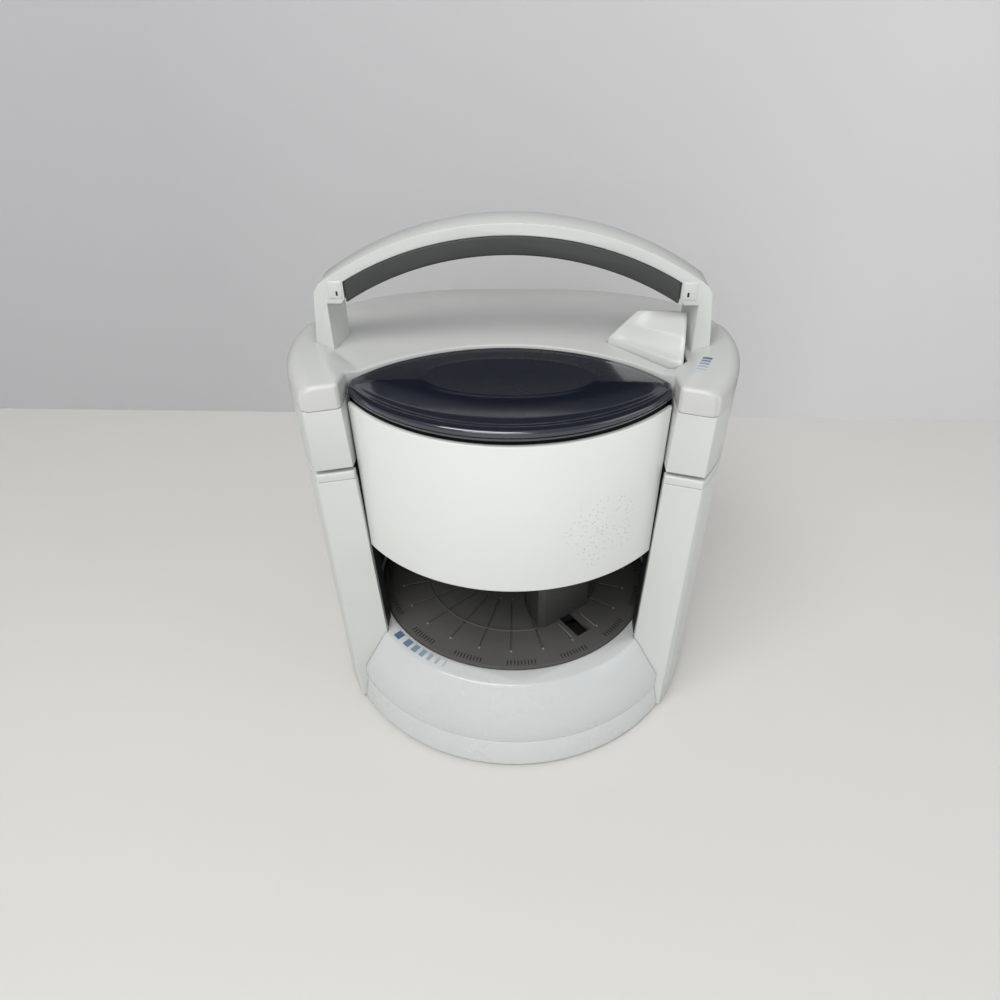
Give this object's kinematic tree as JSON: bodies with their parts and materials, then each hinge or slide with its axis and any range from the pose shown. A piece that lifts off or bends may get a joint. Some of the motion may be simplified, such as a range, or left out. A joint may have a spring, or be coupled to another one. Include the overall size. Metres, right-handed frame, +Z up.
{
  "type": "electric jar opener",
  "caption": "Countertop electric jar opener: jar turntable with gripping jaws in a round base, two columns, lifting head with press button, release lever and carry handle.",
  "frame": {"origin": "on the table under the turntable's axis, in the middle of the footprint", "axes": "+Z up along the turntable's axis, -Y to the front where the jar goes in, +X to the right seen from the front"},
  "size_m": [0.234, 0.224, 0.2845],
  "materials": {
    "white_plastic": "satin moulded plastic",
    "dark_plastic": "fine matt texture",
    "black_rubber": "matt",
    "steel": "plain",
    "gear_plastic": "natural acetal",
    "navy_gloss": "metallic paint under lacquer",
    "board": "circuit board"
  },
  "bodies": {
    "base": {"base_pan": "white_plastic", "base_shell": "white_plastic", "tower_shell": "white_plastic", "tower_rim": "white_plastic", "cavity_liner": "dark_plastic", "rubber_feet": "black_rubber", "base_screws": "steel", "cord_bush": "black_rubber", "axle": "steel", "thrust_washer": "steel", "idler_shaft": "steel", "motor": "steel", "power_board": "board", "mast_guide_left": "dark_plastic", "mast_guide_right": "dark_plastic", "latch_rack": "steel"},
    "table": {"turntable": "dark_plastic", "drive_gear": "gear_plastic"},
    "jar_pin": {"jaw_pinion": "steel"},
    "jar_a": {"jar_jaw_a": "dark_plastic", "jar_pad_a": "black_rubber"},
    "jar_b": {"jar_jaw_b": "dark_plastic", "jar_pad_b": "black_rubber"},
    "idler": {"idler_gear": "gear_plastic"},
    "rotor": {"motor_pinion": "steel"},
    "head": {"head_chassis": "dark_plastic", "head_skirt": "white_plastic", "top_cover": "white_plastic", "front_bowl": "white_plastic", "button_tray": "dark_plastic", "button_switch": "dark_plastic", "mast_left": "white_plastic", "mast_right": "white_plastic", "handle_arch": "white_plastic", "handle_grip": "dark_plastic", "handle_screws": "steel", "lever_pin": "steel", "lever_bracket": "dark_plastic", "chassis_screws": "steel"},
    "button": {"start_button": "navy_gloss", "button_springs": "steel"},
    "lever": {"release_lever": "white_plastic", "lever_spring": "steel"},
    "rod": {"latch_rod": "steel"},
    "pawl": {"latch_pawl": "steel"},
    "lid_pin": {"lid_pinion": "steel"},
    "lid_a": {"lid_jaw_a": "dark_plastic", "lid_pad_a": "black_rubber"},
    "lid_b": {"lid_jaw_b": "dark_plastic", "lid_pad_b": "black_rubber"}
  },
  "joints": [
    {"name": "head_lift", "type": "slide", "parent": "base", "child": "head", "axis": [0, 0, 1], "range_m": [0, 0.1]},
    {"name": "button_press", "type": "slide", "parent": "head", "child": "button", "axis": [0, 0, -1], "range_m": [0, 0.002], "stiffness_N_per_m": 800, "springref_m": -0.0015, "deforming": ["button_springs"]},
    {"name": "lever_tilt", "type": "hinge", "parent": "head", "child": "lever", "pos_m": [0.072, -0.016, 0.214], "axis": [-1, 0, 0], "range_deg": [0, 10], "stiffness_Nm_per_rad": 0.005, "springref_deg": -34.38, "deforming": ["lever_spring"]},
    {"name": "latch_rod_slide", "type": "slide", "parent": "head", "child": "rod", "axis": [0, 0, -1], "range_m": [0, 0.003], "stiffness_N_per_m": 500, "springref_m": -0.005},
    {"name": "latch_pawl_slide", "type": "slide", "parent": "head", "child": "pawl", "axis": [0, -1, 0], "range_m": [0, 0.003]},
    {"name": "turntable_spin", "type": "hinge", "parent": "base", "child": "table", "pos_m": [0, 0, 0.05], "axis": [0, 0, 1], "continuous": true},
    {"name": "idler_spin", "type": "hinge", "parent": "base", "child": "idler", "pos_m": [0.0435, 0.07534, 0.035], "axis": [0, 0, 1], "continuous": true},
    {"name": "motor_spin", "type": "hinge", "parent": "base", "child": "rotor", "pos_m": [0.01856, 0.0736, 0.03], "axis": [0, 0, 1], "continuous": true},
    {"name": "jar_jaw_a_slide", "type": "slide", "parent": "table", "child": "jar_a", "axis": [0.6225, -0.7826, 0], "range_m": [-0.016, 0.02]},
    {"name": "jar_jaw_b_slide", "type": "slide", "parent": "table", "child": "jar_b", "axis": [-0.6225, 0.7826, 0], "range_m": [-0.016, 0.02]},
    {"name": "jaw_pinion_spin", "type": "hinge", "parent": "table", "child": "jar_pin", "pos_m": [0, 0, 0.04845], "axis": [0, 0, 1], "range_deg": [-120, 120]},
    {"name": "lid_jaw_a_slide", "type": "slide", "parent": "head", "child": "lid_a", "axis": [1, 0, 0], "range_m": [-0.016, 0.018]},
    {"name": "lid_jaw_b_slide", "type": "slide", "parent": "head", "child": "lid_b", "axis": [-1, 0, 0], "range_m": [-0.016, 0.018]},
    {"name": "lid_pinion_spin", "type": "hinge", "parent": "head", "child": "lid_pin", "pos_m": [0, 0, 0.1345], "axis": [0, 0, 1], "range_deg": [-110, 110]}
  ],
  "couplings": [
    {"joint": "lever_tilt", "follows": "latch_rod_slide", "rad_per_m": 58.17},
    {"joint": "latch_pawl_slide", "follows": "latch_rod_slide", "ratio": 1},
    {"joint": "idler_spin", "follows": "turntable_spin", "ratio": -8.6667},
    {"joint": "motor_spin", "follows": "turntable_spin", "ratio": 34.667},
    {"joint": "jar_jaw_b_slide", "follows": "jar_jaw_a_slide", "ratio": 1},
    {"joint": "jaw_pinion_spin", "follows": "jar_jaw_a_slide", "rad_per_m": -100},
    {"joint": "lid_jaw_b_slide", "follows": "lid_jaw_a_slide", "ratio": 1},
    {"joint": "lid_pinion_spin", "follows": "lid_jaw_a_slide", "rad_per_m": -100}
  ]
}
